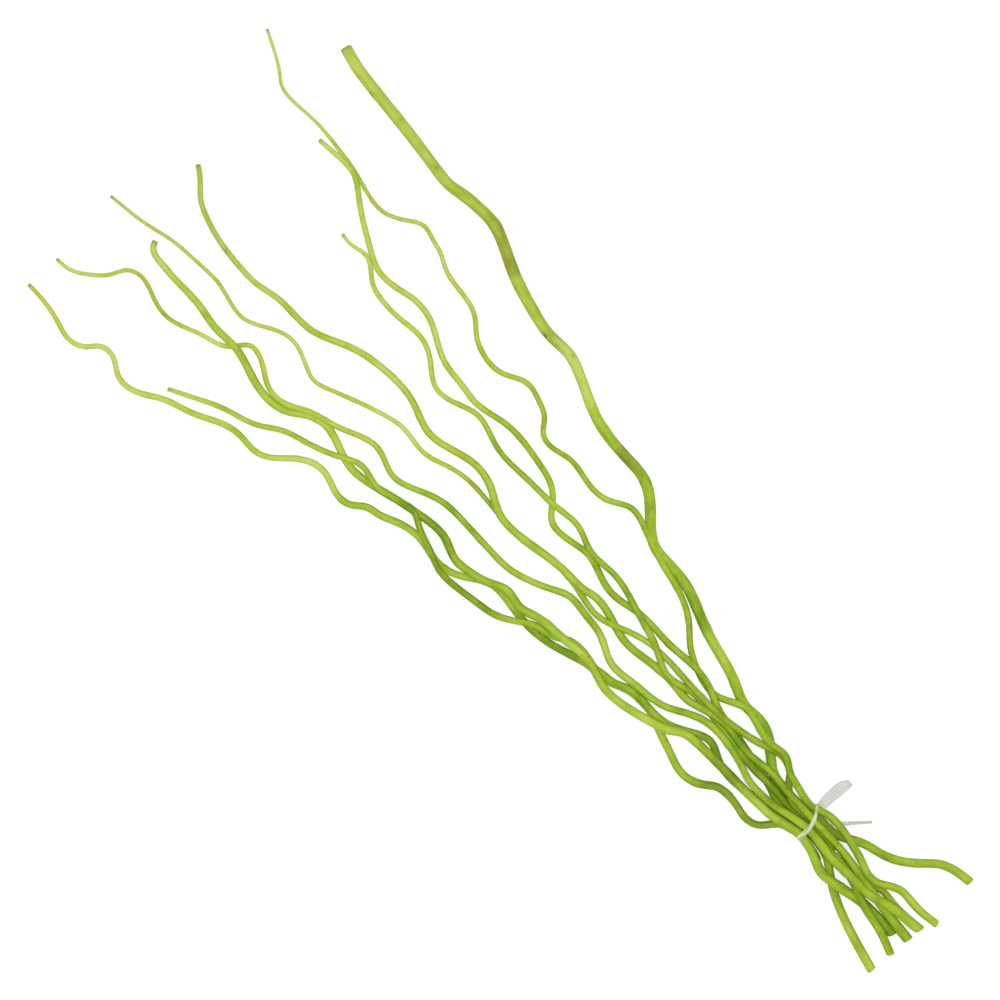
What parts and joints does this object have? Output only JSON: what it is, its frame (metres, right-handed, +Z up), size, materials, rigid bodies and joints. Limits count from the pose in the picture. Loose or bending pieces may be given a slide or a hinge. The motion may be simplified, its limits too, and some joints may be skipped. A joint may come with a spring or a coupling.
{
  "type": "decorative branch",
  "caption": "Bunch of peeled, lime-green dyed curly willow stems, held near the cut ends by a clear plastic ribbon, lying flat for a tabletop or shelf display.",
  "frame": {"origin": "centre of the bunch's footprint, at its lowest point", "axes": "+X along the bunch from the cut ends to the tips, +Z up from the surface it lies on, +Y to the left seen from the cut ends"},
  "size_m": [0.753, 0.279, 0.0356],
  "materials": {
    "stem_outer_right": "peeled willow, dyed pale lime green, satin, with olive patches",
    "stem_thin_right": "peeled willow, dyed lime green, satin",
    "stem_crossing_right": "peeled willow, dyed lime green, satin",
    "stem_short_right": "peeled willow, dyed lime green, satin",
    "stem_centre": "peeled willow, dyed lime green, satin",
    "stem_thin_centre": "peeled willow, dyed olive green, satin",
    "stem_pale_left": "peeled willow, dyed pale lime green, satin",
    "stem_long_left": "peeled willow, dyed bright lime green, satin",
    "stem_outer_left": "peeled willow, dyed lime green, satin",
    "stem_short_left": "peeled willow, dyed dark lime green, satin",
    "ribbon": "clear pale film, crinkled, half gloss"
  },
  "bodies": {
    "root": {"stem_outer_right": "stem_outer_right", "stem_thin_right": "stem_thin_right", "stem_crossing_right": "stem_crossing_right", "stem_short_right": "stem_short_right", "stem_centre": "stem_centre", "stem_thin_centre": "stem_thin_centre", "stem_pale_left": "stem_pale_left", "stem_long_left": "stem_long_left", "stem_outer_left": "stem_outer_left", "stem_short_left": "stem_short_left", "ribbon_band": "ribbon", "ribbon_knot": "ribbon", "ribbon_loop": "ribbon", "ribbon_tail": "ribbon"}
  },
  "joints": []
}
